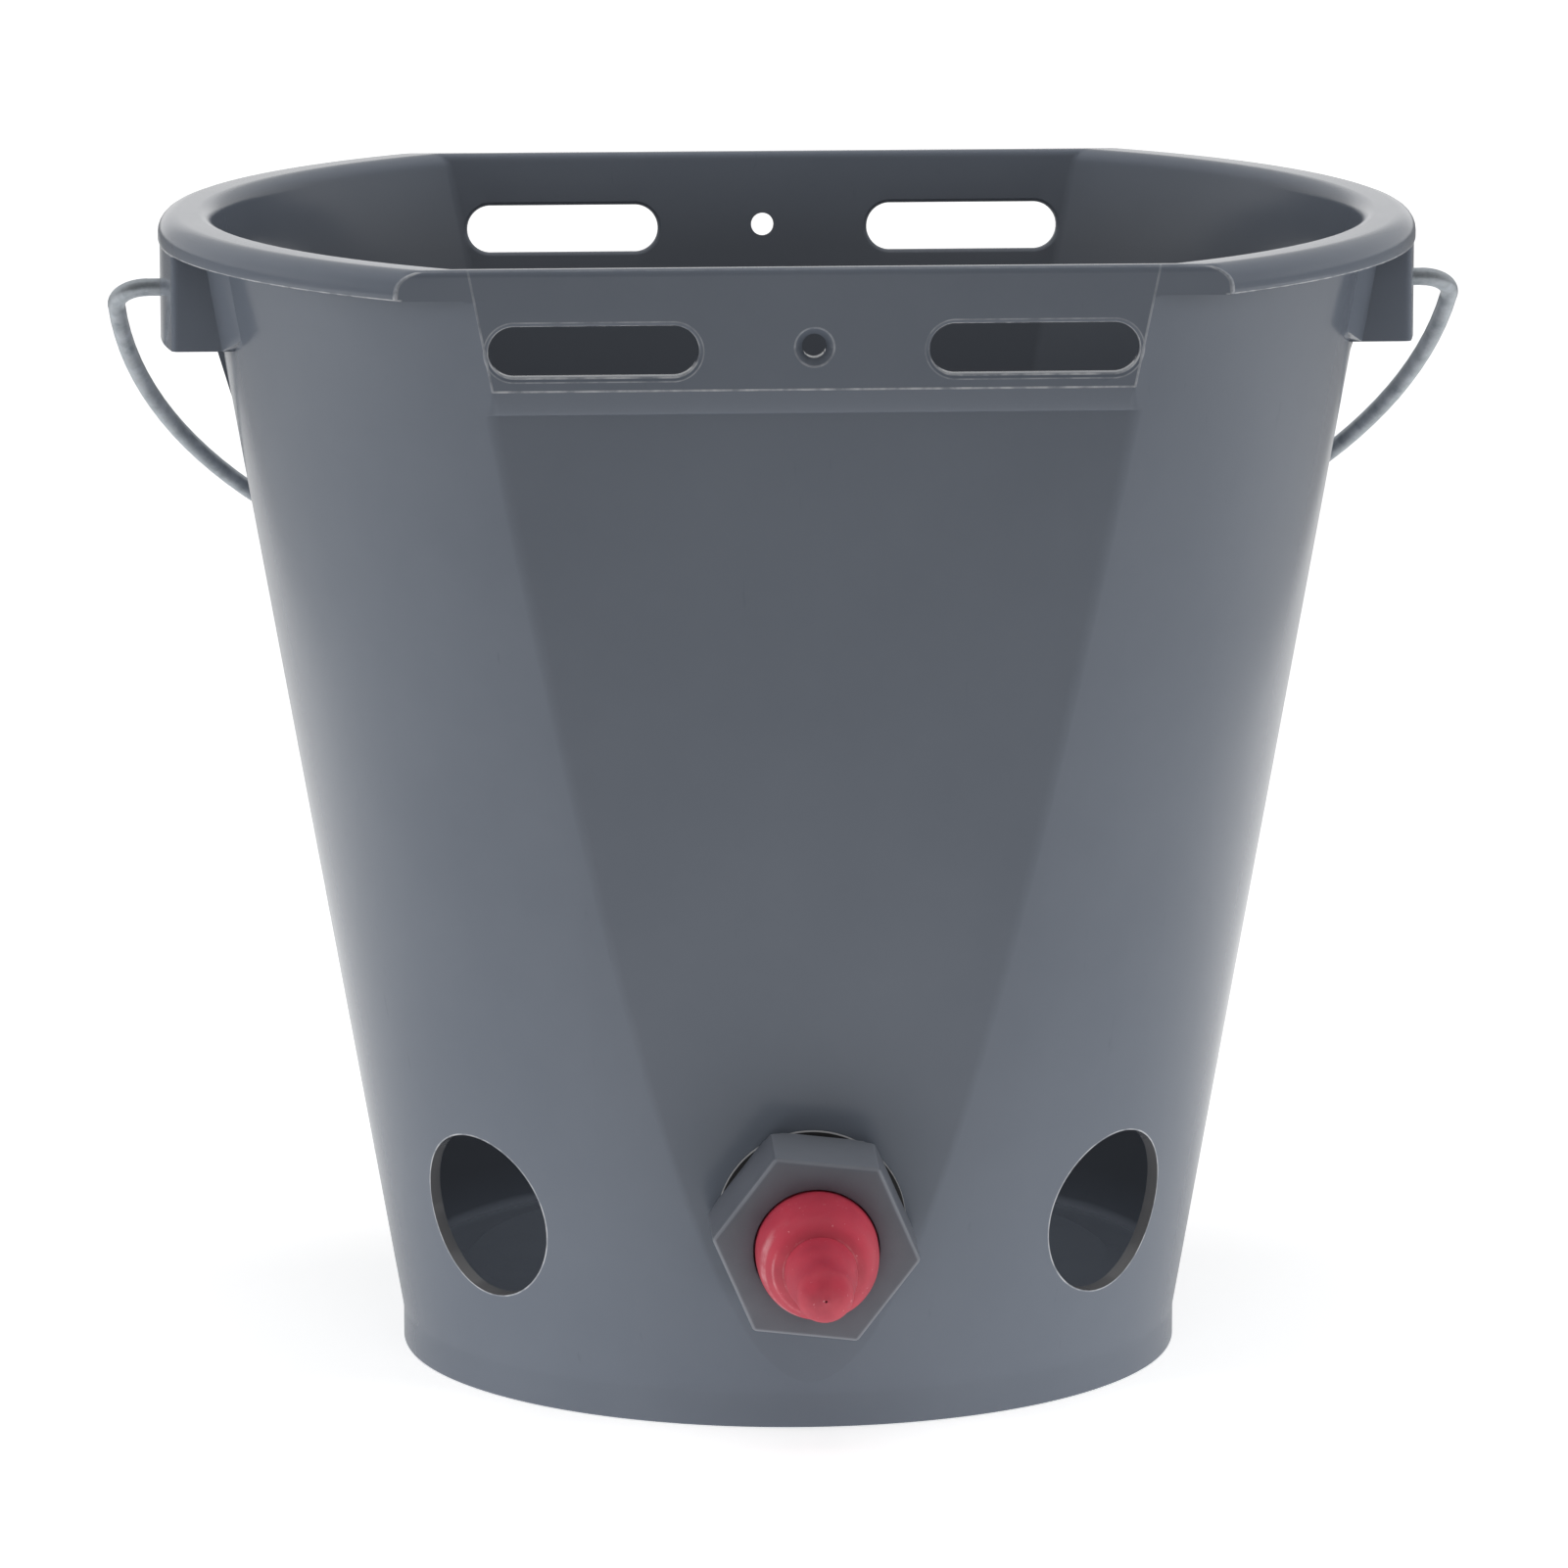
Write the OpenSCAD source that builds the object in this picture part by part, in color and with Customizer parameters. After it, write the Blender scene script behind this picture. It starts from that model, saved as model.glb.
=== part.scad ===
// Multi teat lamb feeder: a moulded bucket with flattened front and back,
// a wire bail, three teat holes low on the front and one teat valve fitted.
// Frame: millimetres, +Z up, origin at the middle of the foot, front towards -Y.

/* [Bucket shell] */
// height of the bucket from the table to the top of the lip
bucket_h = 295; // [275:1:330]
// outside diameter of the foot
base_d = 200; // [190:1:210]
// outside diameter of the round wall, measured at the height of the rim
wall_top_d = 300; // [290:1:310]
// height of the upright band round the foot
foot_h = 9; // [6:0.5:11]
// thickness of the moulded wall
wall_t = 3.2; // [2.8:0.1:3.6]
// height of the inside floor above the table, where it meets the wall
floor_z = 19; // [17:0.5:22]
// how far the middle of the floor stands above its edge
floor_crown = 2.5; // [1.5:0.1:3.5]
// diameter of the level disc in the middle of the floor
crown_d = 165; // [140:1:172]

/* [Lip] */
// how far the turned-down lip stands out from the wall
lip_reach = 10; // [9:0.5:12]
// depth of the lip's skirt below the rim
lip_h = 7.5; // [6.5:0.1:8.5]
// thickness of the lip's top and skirt
lip_t = 2.6; // [2.2:0.1:3]
// rounding of the lip's outer shoulder
lip_round = 5; // [4:0.1:5.5]
// rounding of the rim's inner edge
rim_round = 4; // [3:0.1:4.5]
// thickness of the web that closes the lip where a flat cuts it
lip_web_t = 2.6; // [2:0.1:3.2]

/* [Flats] */
// how far each flat lies inside the round wall, at the height of the rim
flat_depth = 26.7; // [24:0.1:30]
// height at which the flats run out into the round foot
flat_foot_z = 12; // [11:0.5:14]
// height of the stiffened panel at the top of each flat
panel_h = 30; // [28:0.5:36]
// height of the slope from the flat up to the panel
panel_slope_h = 6; // [4:0.5:8]
// how far the panel stands proud of the flat
panel_proud = 1; // [0.7:0.1:1.4]
// rounding of the panel's top edges
panel_round = 1.4; // [1:0.1:1.6]

/* [Hanging slots] */
// length of each hanging slot
slot_len = 51; // [40:1:56]
// width of each hanging slot
slot_w = 12.5; // [10:0.5:13.5]
// distance between the centres of the two slots
slot_pitch = 107; // [102:1:110]
// depth of the slots' centre line below the rim
slot_drop = 20.4; // [18:0.1:21]
// flare of the slots' edges
slot_flare = 1.2; // [0.8:0.1:1.5]
// depth of the screw hole between the slots below the rim
screw_drop = 19.6; // [18:0.1:21]
// diameter of the screw hole
screw_d = 6; // [5:0.1:7]
// diameter of the screw hole's countersink
screw_sink_d = 9.6; // [8.6:0.1:11]

/* [Teat holes] */
// diameter of each teat hole
hole_d = 42.6; // [40.5:0.1:43.5]
// height of the two side holes where their axes meet the wall
side_hole_z = 48.6; // [46:0.1:56]
// turn of the left hole from the front
left_hole_turn = 49.2; // [44:0.1:56]
// turn of the right hole from the front
right_hole_turn = 46.2; // [44:0.1:56]
// height of the middle hole where its axis meets the flat
middle_hole_z = 54.2; // [52:0.1:60]

/* [Lugs] */
// width of each handle lug
lug_w = 66; // [58:0.5:74]
// depth of the lugs below the rim
lug_drop = 31.7; // [30:0.1:36]
// wall thickness of the lugs
lug_t = 3; // [2.4:0.1:3.2]
// how far the outer wall of a lug lies inside the lip
lug_set = 0.4; // [0.2:0.1:0.8]
// length along the wall of the fillet beside each cheek of a lug
lug_flare = 9; // [6:0.5:12]
// how far that fillet reaches out on the cheek
flare_reach = 3.2; // [2:0.1:5]
// how far the fillet's foot rises from the cheek to the wall
flare_rise = 4; // [2:0.5:6]
// height of the small rib below each lug
rib_h = 20; // [12:1:26]
// thickness of that rib
rib_t = 3; // [2:0.1:4]
// how far the rib stands out at its top
rib_reach = 2; // [1.4:0.1:2.5]

/* [Bail] */
// diameter of the bail's wire
wire_d = 4.5; // [4:0.1:5]
// depth of the bail's pivot below the rim
pivot_drop = 19.5; // [18.5:0.1:20.5]
// distance of the bail's arms outside the lip
bail_gap = 11; // [9:0.5:14]
// bend radius where the wire turns out of the lug
bail_bend_r = 8; // [7:0.1:8.5]
// distance of the straight hand-hold from the pivot
bail_drop = 151; // [148:0.5:158]
// bend radius at each end of the hand-hold
hold_bend_r = 60; // [50:1:70]
// length of the hooked wire ends inside the lugs
hook_len = 8; // [7:0.1:8.4]
// bend radius of those hooks
hook_bend_r = 4; // [3.4:0.1:4.4]
// radial running clearance of the wire in the lug
wire_gap = 0.25; // [0.15:0.01:0.4]
// gap between the hand-hold and the back of the bucket at rest
rest_gap = 0.4; // [0.3:0.05:0.8]

/* [Teat valve] */
// diameter of the grommet's outer flange
grommet_out_d = 47.1; // [46:0.1:49]
// diameter of the grommet's inner flange
grommet_in_d = 47.6; // [46:0.1:49]
// thickness of both flanges of the grommet
grommet_t = 2; // [1.6:0.1:2.6]
// diameter of the valve body's flange
body_flange_d = 50; // [48:0.5:50.5]
// thickness of that flange
body_flange_t = 4; // [3:0.1:5]
// outside diameter of the valve body's thread
thread_d = 33; // [32:0.1:34]
// length of the thread beyond the outside of the wall
thread_len = 17; // [15:0.5:19]
// diameter of the inlet port
port_d = 10; // [8:0.1:10.2]
// diameter of the valve ball
ball_d = 15; // [14.5:0.1:15.5]
// diameter of the ball's chamber
chamber_d = 17.5; // [16.6:0.1:18.5]
// thickness of the ball's retaining spider
spider_t = 3; // [2.4:0.1:3.6]
// diameter of the retaining spider
spider_d = 25.8; // [24:0.1:27]
// width of the spider's arms
spider_arm_w = 3; // [2:0.1:4]
// width of the spider's rim
spider_rim_w = 2.2; // [1.6:0.1:3]
// gap left between the ball and its stops
ball_gap = 0.3; // [0.2:0.05:0.5]

/* [Nut and teat] */
// distance across the nut's flats
nut_af = 45; // [43:0.1:47]
// length of the nut
nut_len = 22.5; // [21.5:0.1:26]
// turn of the nut about its axis
nut_turn = -6.7; // [-29:0.1:29]
// chamfer of the nut's rear corners
nut_chamfer = 1.2; // [0.6:0.1:1.8]
// diameter of the opening in the nut's front
nut_mouth_d = 31; // [29:0.1:31.5]
// thickness of the teat's flange
teat_flange_t = 3; // [2.4:0.1:3.6]
// diameter of the teat's bulb
teat_bulb_d = 30.4; // [28.6:0.1:30.6]
// diameter of the nipple where it leaves the bulb
teat_neck_d = 17.8; // [16:0.1:19]
// diameter of the nipple near its tip
teat_tip_d = 14.2; // [13:0.1:15.5]
// length of the teat beyond the nut
teat_len = 40; // [36:0.5:46]
// thickness of the teat's rubber
teat_t = 2.6; // [2.2:0.1:3]
// diameter of the milk hole in the teat's tip
teat_hole_d = 2; // [1.2:0.1:3]

/* [Hidden] */
$fn = 96;
// colours as the photograph shows them
grey_plastic = [0.50, 0.53, 0.57];
nut_grey = [0.45, 0.47, 0.50];
zinc = [0.62, 0.65, 0.68];
black_rubber = [0.06, 0.06, 0.07];
red_rubber = [0.80, 0.22, 0.30];
white_plastic = [0.88, 0.88, 0.85];
// overrun of every cut
over = wall_t;
// radial gap between pieces pushed into each other
push_gap = wall_t / 32;
// radial gap of the nut on its thread
thread_gap = wall_t / 12;
half = 1 / 2;

base_r = base_d * half;
wall_top_r = wall_top_d * half;
lip_r = wall_top_r + lip_reach;
wall_slope = (wall_top_r - base_r) / (bucket_h - foot_h);
wall_tilt = atan(wall_slope);
// level thickness of the sloped wall
wall_level_t = wall_t / cos(wall_tilt);
function wall_r(z) = base_r + wall_slope * (z - foot_h);
function inner_r(z) = wall_r(z) - wall_level_t;

flat_top_y = wall_top_r - flat_depth;
flat_slope = (flat_top_y - wall_r(flat_foot_z)) / (bucket_h - flat_foot_z);
flat_tilt = atan(flat_slope);
flat_level_t = wall_t / cos(flat_tilt);
function flat_y(z) = wall_r(flat_foot_z) + flat_slope * (z - flat_foot_z);
panel_z = bucket_h - panel_h;
panel_foot_z = panel_z - panel_slope_h;
floor_mid_z = floor_z + floor_crown;
under_r = base_r - wall_t;
pivot_z = bucket_h - pivot_drop;
slot_z = bucket_h - slot_drop;
screw_z = bucket_h - screw_drop;
lug_z = bucket_h - lug_drop;
lug_r = lip_r - lug_set;
// half width of a lug over its cheeks, and over the fillets beside them
cheek_y = lug_w * half;
flare_y = cheek_y + lug_flare;
// how far out the wall lies at the foot of a cheek and of a fillet
cheek_x = sqrt(pow(wall_r(lug_z), 2) - pow(cheek_y, 2));
flare_x = sqrt(pow(wall_r(lug_z), 2) - pow(flare_y, 2));

wire_r = wire_d * half;
// the wire swells by a hair where it is bent
bend_swell = wire_r / 56;
// how far a straight run reaches into the bend that follows it
bend_lap = wire_r / 6;
bail_r = lip_r + bail_gap;
bend_turn = asin(bail_bend_r / (bail_r - bail_bend_r));
bend_x = (bail_r - bail_bend_r) * cos(bend_turn);
// the hand-hold is a chord of the arms' circle; a longer bail gets straight legs above its arms
hold_chord = min(bail_drop, bail_r - hold_bend_r / 3);
leg_len = (bail_drop - hold_chord) / cos(bend_turn);
hold_turn = asin((hold_chord - hold_bend_r) / (bail_r - hold_bend_r));
hold_half = (bail_r - hold_bend_r) * cos(hold_turn) - leg_len * sin(bend_turn);
// swing at which the hand-hold just clears the back flat
rest_reach = flat_y(pivot_z) + (wire_r + rest_gap) / cos(flat_tilt);
rest_swing = asin(rest_reach * cos(flat_tilt) / bail_drop) - flat_tilt;
// middle of the lug's pocket, where the wire ends are hooked
hook_x = (wall_r(pivot_z + hook_len) + lug_r - lug_t) * half;

body_r = hole_d * half - push_gap;
thread_r = thread_d * half;
nut_z = grommet_t;
nut_front_z = nut_z + nut_len;
nut_corner_d = nut_af / cos(30);
teat_seat_z = thread_len + teat_flange_t;
inner_face_z = -wall_t;
flange_z = inner_face_z - grommet_t;
port_z = flange_z - body_flange_t;
spider_z = thread_len - spider_t;
// the ball's cone seat opens at forty-five degrees
seat_z = flange_z;
seat_top_z = seat_z + (chamber_d - port_d) * half;
ball_z = spider_z - ball_d * half - ball_gap;

// the two flats as one block, cut to a given inset from the outer faces
module flat_block(inset, top_round) {
    low_y = flat_y(foot_h) - inset;
    wide_y = lip_r + over;
    foot_y = flat_y(panel_foot_z) - inset;
    step_y = flat_y(panel_z) - inset + (inset > 0 ? 0 : panel_proud);
    top_y = flat_y(bucket_h - top_round) - inset + (inset > 0 ? 0 : panel_proud);
    sign = inset > 0 ? 1 : -1;
    side = concat(
        [[wide_y, -over], [wide_y, foot_h], [low_y, foot_h], [foot_y, panel_foot_z], [step_y, panel_z]],
        [for (a = [0:15:90]) [top_y + sign * top_round * (1 - cos(a)), bucket_h - top_round + top_round * sin(a)]],
        inset > 0 ? [[top_y + top_round, bucket_h + over]] : []
    );
    other = [for (i = [len(side) - 1:-1:0]) [-side[i][0], side[i][1]]];
    rotate([90, 0, 90])
        linear_extrude(height = 2 * (lip_r + over), center = true)
            polygon(concat(side, other));
}

// half section of the closed cone with its foot band
module wall_section() {
    polygon([[0, 0], [base_r, 0], [base_r, foot_h], [wall_r(bucket_h - lip_t), bucket_h - lip_t],
        [wall_r(bucket_h - lip_t), bucket_h], [0, bucket_h]]);
}

// half section of the lip, solid or with its open channel underneath
module lip_section(solid) {
    shoulder_r = lip_r - lip_round;
    inner = wall_r(bucket_h) - wall_t;
    difference() {
        union() {
            translate([inner, bucket_h - lip_h])
                square([shoulder_r - inner, lip_h]);
            translate([inner, bucket_h - lip_h])
                square([lip_r - inner, lip_h - lip_round]);
            translate([shoulder_r, bucket_h - lip_round])
                circle(r = lip_round);
        }
        if (!solid) {
            translate([inner - over, bucket_h - lip_h - over])
                square([shoulder_r - inner + over, lip_h - lip_t + over]);
            translate([inner - over, bucket_h - lip_h - over])
                square([lip_r - lip_t - inner + over, lip_h - lip_round + over]);
            translate([shoulder_r, bucket_h - lip_round])
                circle(r = lip_round - lip_t);
        }
    }
}

// hollow of the bucket, with the rim's rounded inner edge
module cavity() {
    edge_r = inner_r(bucket_h - rim_round);
    intersection() {
        rotate_extrude() {
            polygon([[0, floor_mid_z], [crown_d * half, floor_mid_z], [inner_r(floor_z), floor_z],
                [edge_r, bucket_h - rim_round], [edge_r, bucket_h + over], [0, bucket_h + over]]);
            difference() {
                translate([edge_r - over, bucket_h - rim_round])
                    square([rim_round + over, rim_round + over]);
                translate([edge_r + rim_round, bucket_h - rim_round])
                    circle(r = rim_round);
            }
        }
        flat_block(flat_level_t, panel_round);
    }
}

// hollow under the floor, open to the table
module under_hollow() {
    rotate_extrude()
        polygon([[0, -over], [under_r, -over], [under_r, floor_z - wall_t],
            [crown_d * half, floor_mid_z - wall_t], [0, floor_mid_z - wall_t]]);
}

// one hollow lug at the +X side, open below, its outer wall as round as the lip above it
module lug() {
    inside_x = flare_x - wall_t;
    difference() {
        union() {
            intersection() {
                lug_round();
                translate([inside_x, -cheek_y, lug_z])
                    cube([lip_r - inside_x, lug_w, lug_drop]);
            }
            lug_fillet();
            mirror([0, 1, 0])
                lug_fillet();
        }
        intersection() {
            cylinder(r = lug_r - lug_t, h = bucket_h + over);
            translate([inside_x - over, lug_t - cheek_y, lug_z - over])
                cube([lip_r - inside_x, lug_w - 2 * lug_t, lug_drop + 2 * over]);
        }
        translate([lug_r - lug_t - over, 0, pivot_z])
            rotate([0, 90, 0])
                cylinder(r = wire_r + wire_gap, h = lug_t + 2 * over);
    }
    rib_z = lug_z - rib_h;
    rotate([90, 0, 0])
        linear_extrude(height = rib_t, center = true)
            polygon([[wall_r(rib_z) - wall_t, rib_z], [wall_r(rib_z), rib_z], [wall_r(lug_z) + rib_reach, lug_z],
                [wall_r(lug_z) + rib_reach, lug_z + lug_t], [wall_r(lug_z) - wall_t, lug_z + lug_t]]);
}

// the turned form that a lug fills, from its foot up into the lip
module lug_round() {
    rotate_extrude()
        polygon([[base_r, lug_z], [lug_r, lug_z], [lug_r, bucket_h - lip_round],
            [lip_r - lip_round, bucket_h - lip_t * half], [base_r, bucket_h - lip_t * half]]);
}

// fillet between a cheek and the round wall; it leans out with the wall and its foot is cut at a slant.
// Both its ends run a little way into what they join.
module lug_fillet() {
    lap = lug_t * half;
    root_x = flare_x - cheek_x - wall_t;
    top_z = bucket_h - lip_t * half;
    face_slope = (flare_x - cheek_x - flare_reach) / lug_flare;
    intersection() {
        translate([cheek_x, 0, lug_z])
            rotate([0, wall_tilt, 0])
                translate([0, 0, -flare_rise])
                    linear_extrude(height = lug_drop + 2 * flare_rise)
                        polygon([[root_x, cheek_y - lap], [flare_reach - face_slope * lap, cheek_y - lap],
                            [flare_reach + face_slope * (lug_flare + lap), flare_y + lap], [root_x, flare_y + lap]]);
        rotate([90, 0, 90])
            linear_extrude(height = lip_r + over)
                polygon([[cheek_y - lap, lug_z], [cheek_y - lap / 4, lug_z], [flare_y + lap, lug_z + flare_rise],
                    [flare_y + lap, top_z], [cheek_y - lap, top_z]]);
    }
}

// one hanging slot through a panel, flared at both faces; local +Z is outwards
module slot_cut(thick) {
    r = slot_w * half;
    run = (slot_len - slot_w) * half;
    linear_extrude(height = 2 * (thick + over), center = true) {
        square([2 * run, slot_w], center = true);
        for (s = [-1, 1])
            translate([s * run, 0])
                circle(r = r);
    }
    for (f = [0, 1])
        translate([0, 0, f * -thick])
            rotate([f * 180, 0, 0])
                slot_flare_cut(r, run);
}

// the slanted mouth of a slot, opening towards local +Z
module slot_flare_cut(r, run) {
    for (s = [-1, 1])
        translate([s * run, 0, -slot_flare])
            cylinder(r1 = r, r2 = r + 2 * slot_flare, h = 2 * slot_flare);
    rotate([90, 0, 90])
        linear_extrude(height = 2 * run, center = true)
            polygon([[-r, -slot_flare], [r, -slot_flare], [r + 2 * slot_flare, slot_flare], [-r - 2 * slot_flare, slot_flare]]);
}

// both slots and the countersunk screw hole of the front panel
module panel_cuts() {
    thick = flat_level_t + panel_proud;
    translate([0, -flat_y(slot_z) - panel_proud, slot_z])
        rotate([90, 0, 0])
            for (s = [-1, 1])
                translate([s * slot_pitch * half, 0, 0])
                    slot_cut(thick);
    translate([0, -flat_y(screw_z) - panel_proud, screw_z])
        rotate([90, 0, 0]) {
            cylinder(d = screw_d, h = 2 * (thick + over), center = true);
            translate([0, 0, -(screw_sink_d - screw_d) * half])
                cylinder(d1 = screw_d, d2 = screw_sink_d + screw_sink_d - screw_d, h = screw_sink_d - screw_d);
        }
}

// a round hole square to the round wall, turned from the front
module side_hole(turn) {
    rotate([0, 0, turn])
        translate([0, -wall_r(side_hole_z), side_hole_z])
            rotate([90 + wall_tilt, 0, 0])
                cylinder(d = hole_d, h = 4 * wall_t + 2 * over, center = true);
}

// places children on the middle hole: local origin on the flat, +Z straight out
module at_middle_hole() {
    translate([0, -flat_y(middle_hole_z), middle_hole_z])
        rotate([90 + flat_tilt, 0, 0])
            children();
}

module bucket() {
    color(grey_plastic)
        difference() {
            union() {
                intersection() {
                    rotate_extrude() {
                        wall_section();
                        lip_section(false);
                    }
                    flat_block(0, panel_round);
                }
                intersection() {
                    rotate_extrude()
                        lip_section(true);
                    difference() {
                        flat_block(0, panel_round);
                        flat_block(lip_web_t, panel_round);
                    }
                }
                for (s = [0, 1])
                    rotate([0, 0, s * 180])
                        lug();
            }
            cavity();
            under_hollow();
            for (s = [0, 1])
                rotate([0, 0, s * 180])
                    panel_cuts();
            side_hole(-left_hole_turn);
            side_hole(right_hole_turn);
            at_middle_hole()
                cylinder(d = hole_d, h = 4 * wall_t + 2 * over, center = true);
        }
}

// an arc of wire in the XY plane about the origin, from one angle to another
module wire_arc(r, from, to, thick) {
    rotate([0, 0, from])
        rotate_extrude(angle = to - from)
            translate([r, 0])
                circle(r = thick);
}

// one half of the bail in its own plane: +X to the lug, +Y down the arm.
// Each straight run and each wide arc ends a little way inside the next bend.
module bail_half() {
    bend_r = wire_r + bend_swell;
    arc_lap = atan(bend_lap / bail_r);
    translate([hook_x, hook_bend_r - bend_lap, 0])
        rotate([-90, 0, 0])
            cylinder(r = wire_r, h = hook_len - hook_bend_r + bend_lap);
    translate([hook_x + hook_bend_r, hook_bend_r, 0])
        wire_arc(hook_bend_r, 180, 270, bend_r);
    translate([hook_x + hook_bend_r - bend_lap, 0, 0])
        rotate([0, 90, 0])
            cylinder(r = wire_r, h = bend_x - hook_x - hook_bend_r + 2 * bend_lap);
    translate([bend_x, bail_bend_r, 0])
        wire_arc(bail_bend_r, -90, bend_turn, bend_r);
    if (leg_len > 0)
        rotate([0, 0, bend_turn])
            translate([bail_r, -bend_lap, 0])
                rotate([-90, 0, 0])
                    cylinder(r = wire_r, h = leg_len + 2 * bend_lap);
    rotate([0, 0, bend_turn])
        translate([0, leg_len, 0])
            rotate([0, 0, -bend_turn])
                wire_arc(bail_r, bend_turn - arc_lap, hold_turn + arc_lap, wire_r);
    translate([hold_half, bail_drop - hold_bend_r, 0])
        wire_arc(hold_bend_r, hold_turn, 90, bend_r);
}

module bail_handle() {
    color(zinc)
        translate([0, 0, pivot_z])
            rotate([rest_swing - 90, 0, 0])
                union() {
                    bail_half();
                    mirror([1, 0, 0])
                        bail_half();
                    translate([0, bail_drop, 0])
                        rotate([0, 90, 0])
                            cylinder(r = wire_r, h = 2 * (hold_half + bend_lap), center = true);
                }
}

// rubber lining of the middle hole with a flange on each side of the wall
module grommet() {
    color(black_rubber)
        at_middle_hole()
            difference() {
                union() {
                    cylinder(d = grommet_out_d, h = grommet_t);
                    translate([0, 0, inner_face_z])
                        cylinder(r = body_r, h = wall_t);
                    translate([0, 0, flange_z])
                        cylinder(d = grommet_in_d, h = grommet_t);
                }
                translate([0, 0, flange_z - over])
                    cylinder(r = thread_r + push_gap, h = wall_t + 2 * grommet_t + 2 * over);
            }
}

// flanged tube through the grommet, with the ball's seat and chamber
module valve_body() {
    color(nut_grey)
        at_middle_hole()
            difference() {
                union() {
                    translate([0, 0, port_z])
                        cylinder(d = body_flange_d, h = body_flange_t);
                    translate([0, 0, flange_z])
                        cylinder(r = thread_r, h = thread_len - flange_z);
                }
                translate([0, 0, port_z - over])
                    cylinder(d = port_d, h = body_flange_t + 2 * over);
                translate([0, 0, seat_z])
                    cylinder(d1 = port_d, d2 = chamber_d, h = seat_top_z - seat_z);
                translate([0, 0, seat_top_z])
                    cylinder(d = chamber_d, h = thread_len - seat_top_z + over);
                translate([0, 0, spider_z])
                    cylinder(r = spider_d * half + push_gap, h = spider_t + over);
            }
}

// the ball lies open, against its retaining spider
module valve_ball() {
    color(white_plastic)
        at_middle_hole()
            translate([0, 0, ball_z])
                sphere(d = ball_d);
}

// three-armed spider that keeps the ball in its chamber
module ball_retainer() {
    color(white_plastic)
        at_middle_hole()
            translate([0, 0, spider_z]) {
                difference() {
                    cylinder(d = spider_d, h = spider_t);
                    translate([0, 0, -over])
                        cylinder(d = spider_d - 2 * spider_rim_w, h = spider_t + 2 * over);
                }
                intersection() {
                    cylinder(d = spider_d - spider_rim_w, h = spider_t);
                    for (a = [0:120:240])
                        rotate([0, 0, a])
                            translate([0, -spider_arm_w * half, 0])
                                cube([spider_d, spider_arm_w, spider_t]);
                }
            }
}

// hexagonal cap nut that holds the teat's flange on the end of the tube
module hex_nut() {
    color(nut_grey)
        at_middle_hole()
            rotate([0, 0, nut_turn])
                difference() {
                    intersection() {
                        translate([0, 0, nut_z])
                            cylinder(d = nut_corner_d, h = nut_len, $fn = 6);
                        translate([0, 0, nut_z])
                            rotate_extrude()
                                polygon([[0, 0], [nut_corner_d * half - nut_chamfer, 0],
                                    [nut_corner_d * half + nut_chamfer, 2 * nut_chamfer],
                                    [nut_corner_d * half + nut_chamfer, nut_len + over], [0, nut_len + over]]);
                    }
                    translate([0, 0, nut_z - over])
                        cylinder(r = thread_r + thread_gap, h = teat_seat_z - nut_z + over);
                    cylinder(d = nut_mouth_d, h = nut_front_z + over);
                }
}

// outside radius of the teat at a share t of its length beyond the nut
bulb_share = 0.42;
waist_share = 0.48;
tip_share = 0.84;
function ease(t) = t * t * (3 - 2 * t);
function teat_r(t) =
    let (bulb = teat_bulb_d * half, tip = teat_tip_d * half, neck = teat_neck_d * half)
    t < bulb_share ? neck + (bulb - neck) * sqrt(max(0, 1 - pow(t / bulb_share, 3)))
    : t < waist_share ? neck
    : t < tip_share ? neck + (tip - neck) * ease((t - waist_share) / (tip_share - waist_share))
    : tip * sqrt(max(0, 1 - pow((t - tip_share) / (1 - tip_share), 2)));

// hollow rubber teat, its flange trapped inside the nut
module teat() {
    steps = 40;
    hollow_len = teat_len - teat_t;
    hollow_steps = 24;
    neck_r = teat_bulb_d * half;
    hollow_r = neck_r - teat_t;
    base_z = teat_seat_z;
    color(red_rubber)
        at_middle_hole()
            difference() {
                rotate_extrude()
                    polygon(concat(
                        [[0, thread_len], [thread_r - push_gap, thread_len], [thread_r - push_gap, base_z], [neck_r, base_z]],
                        [for (i = [0:steps - 1]) [teat_r(i / steps), nut_front_z + teat_len * i / steps]],
                        [[teat_hole_d * half, nut_front_z + teat_len * (1 - 1 / (8 * steps))],
                            [0, nut_front_z + teat_len * (1 - 1 / (8 * steps))]]
                    ));
                rotate_extrude()
                    polygon(concat(
                        [[0, thread_len - over], [hollow_r, thread_len - over]],
                        [for (i = [0:hollow_steps - 1])
                            [max(teat_hole_d, teat_r(i / hollow_steps) - teat_t), nut_front_z + hollow_len * i / hollow_steps]],
                        [[teat_hole_d, nut_front_z + hollow_len * (1 - 1 / hollow_steps) + teat_t * half], [0, nut_front_z + hollow_len]]
                    ));
                translate([0, 0, nut_front_z])
                    cylinder(d = teat_hole_d, h = teat_len + over);
            }
}

bucket();
bail_handle();
grommet();
valve_body();
valve_ball();
ball_retainer();
hex_nut();
teat();
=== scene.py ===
"""Multi teat lamb feeder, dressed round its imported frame: a moulded grey bucket with flattened
front and back, a galvanised wire bail, and one red rubber teat held by a hexagonal cap nut."""

import math

import bmesh
import bpy
from mathutils import Matrix, Vector


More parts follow.
